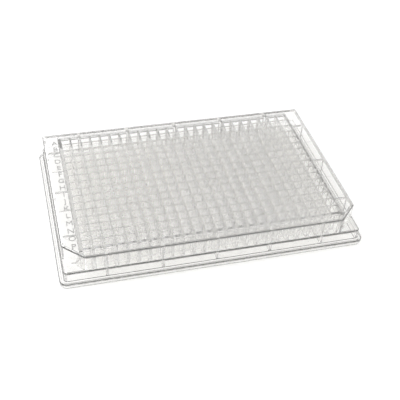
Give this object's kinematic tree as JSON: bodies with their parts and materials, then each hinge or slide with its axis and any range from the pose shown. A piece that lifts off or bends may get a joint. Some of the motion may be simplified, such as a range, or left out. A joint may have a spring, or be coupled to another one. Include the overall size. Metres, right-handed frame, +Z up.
{
  "type": "well plate",
  "caption": "Clear moulded laboratory well plate: a grid of small square wells in a shallow block, with a deck, a stepped skirt and cut front corners.",
  "frame": {"origin": "middle of the rectangular footprint, on the plane that the flange stands on", "axes": "+X along the columns of wells from first to last (the long side), +Y towards the first row of wells, +Z up out of the wells' mouths"},
  "size_m": [0.1278, 0.0854, 0.0142],
  "materials": {
    "clear_polystyrene": "clear, polished injection-moulded polystyrene"
  },
  "bodies": {
    "root": {"well_plate": "clear_polystyrene"}
  },
  "joints": []
}
